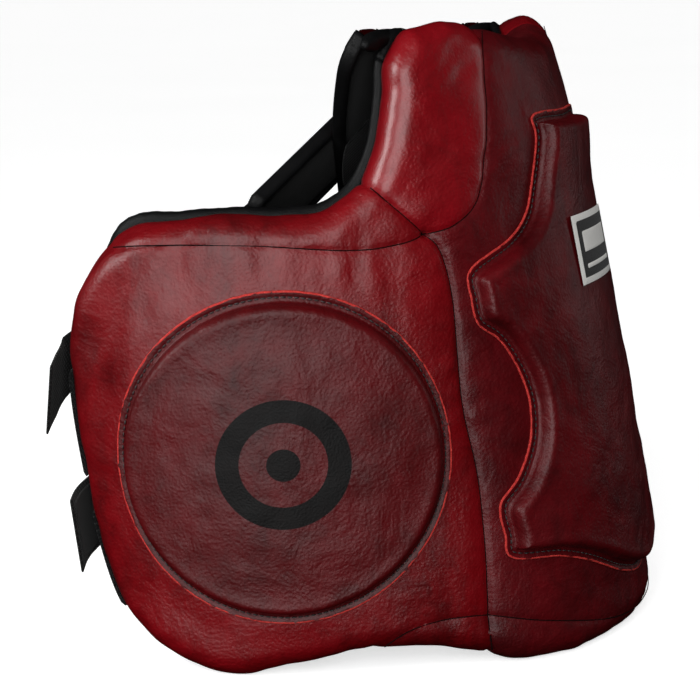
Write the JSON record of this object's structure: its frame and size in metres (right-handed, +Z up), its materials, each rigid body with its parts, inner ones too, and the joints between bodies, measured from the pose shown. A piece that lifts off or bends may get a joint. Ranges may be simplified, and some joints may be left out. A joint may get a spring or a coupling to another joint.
{
  "type": "boxing body protector",
  "caption": "Wrap-around padded leather chest and belly shield with hinged side wings, raised target pads, crossed shoulder straps and a waist strap.",
  "frame": {"origin": "bottom centre: on the floor plane under the middle of the bounding box, on the garment's plane of symmetry in X", "axes": "+Z up, -Y is the front (the way the wearer faces), +X is the wearer's left"},
  "size_m": [0.5862, 0.4589, 0.5228],
  "materials": {
    "oxblood_leather": "semi-gloss full-grain leather, oxblood with darker mottling",
    "deep_red_leather": "satin leather, darker brown-red",
    "black_binding": "rolled black leather binding",
    "black_lining": "matt black woven lining",
    "padding_foam": "closed-cell foam padding, hidden",
    "black_webbing": "woven black webbing",
    "hook_and_loop": "black hook-and-loop tape",
    "black_mark": "matt black print",
    "woven_label": "woven label, pale border round a black field",
    "black_hardware": "glossy black moulded plastic"
  },
  "bodies": {
    "chest": {"centre_pad_cover": "deep_red_leather", "centre_pad_foam": "padding_foam", "chest_foam": "padding_foam", "chest_lining": "black_lining", "chest_top_binding": "black_binding", "front_hem_band": "deep_red_leather", "front_hem_binding": "black_binding", "front_panel": "deep_red_leather", "label_patch": "woven_label", "left_armhole_band": "oxblood_leather", "left_shoulder_fold": "black_binding", "left_shoulder_panel": "oxblood_leather", "neck_band": "oxblood_leather", "right_armhole_band": "oxblood_leather", "right_shoulder_fold": "black_binding", "right_shoulder_panel": "oxblood_leather"},
    "right_wing": {"right_hem_band": "oxblood_leather", "right_rear_band": "oxblood_leather", "right_side_panel": "oxblood_leather", "right_strap_landing": "hook_and_loop", "right_target_cover": "oxblood_leather", "right_target_foam": "padding_foam", "right_target_ring": "black_mark", "right_top_band": "oxblood_leather", "right_waist_landing": "hook_and_loop", "right_wing_binding": "black_binding", "right_wing_foam": "padding_foam", "right_wing_lining": "black_lining"},
    "left_wing": {"left_hem_band": "oxblood_leather", "left_rear_band": "oxblood_leather", "left_side_panel": "oxblood_leather", "left_strap_landing": "hook_and_loop", "left_target_cover": "oxblood_leather", "left_target_foam": "padding_foam", "left_target_ring": "black_mark", "left_top_band": "oxblood_leather", "left_waist_landing": "hook_and_loop", "left_wing_binding": "black_binding", "left_wing_foam": "padding_foam", "left_wing_lining": "black_lining"},
    "shoulder_harness": {"left_strap_binding": "black_binding", "left_strap_cover": "oxblood_leather", "left_strap_padding": "black_lining", "left_strap_webbing": "black_webbing", "right_strap_binding": "black_binding", "right_strap_cover": "oxblood_leather", "right_strap_padding": "black_lining", "right_strap_webbing": "black_webbing", "strap_keeper": "black_webbing"},
    "waist_strap": {"waist_strap": "black_webbing", "waist_strap_hook_patch": "hook_and_loop"},
    "right_slider": {"right_strap_slider": "black_hardware"},
    "left_slider": {"left_strap_slider": "black_hardware"}
  },
  "joints": [
    {"name": "right_wing_flex", "type": "hinge", "parent": "chest", "child": "right_wing", "pos_m": [-0.15696, -0.14845, 0.00316], "axis": [0, 0.1685, 0.9857], "range_deg": [0, 30], "stiffness_Nm_per_rad": 3},
    {"name": "left_wing_flex", "type": "hinge", "parent": "chest", "child": "left_wing", "pos_m": [0.15696, -0.14845, 0.00316], "axis": [0, -0.1685, -0.9857], "range_deg": [0, 30], "stiffness_Nm_per_rad": 3},
    {"name": "harness_lift", "type": "hinge", "parent": "chest", "child": "shoulder_harness", "pos_m": [0, -0.0212, 0.516], "axis": [1, 0, 0], "range_deg": [0, 60]},
    {"name": "waist_strap_peel", "type": "hinge", "parent": "left_wing", "child": "waist_strap", "pos_m": [0.289, 0.1754, 0.113], "axis": [0, -0.1374, -0.9905], "range_deg": [0, 100]},
    {"name": "right_slider_slide", "type": "slide", "parent": "shoulder_harness", "child": "right_slider", "axis": [0.5737, 0.609, -0.5476], "range_m": [-0.02, 0.02]},
    {"name": "left_slider_slide", "type": "slide", "parent": "shoulder_harness", "child": "left_slider", "axis": [-0.5819, 0.5589, -0.5908], "range_m": [-0.02, 0.02]}
  ]
}
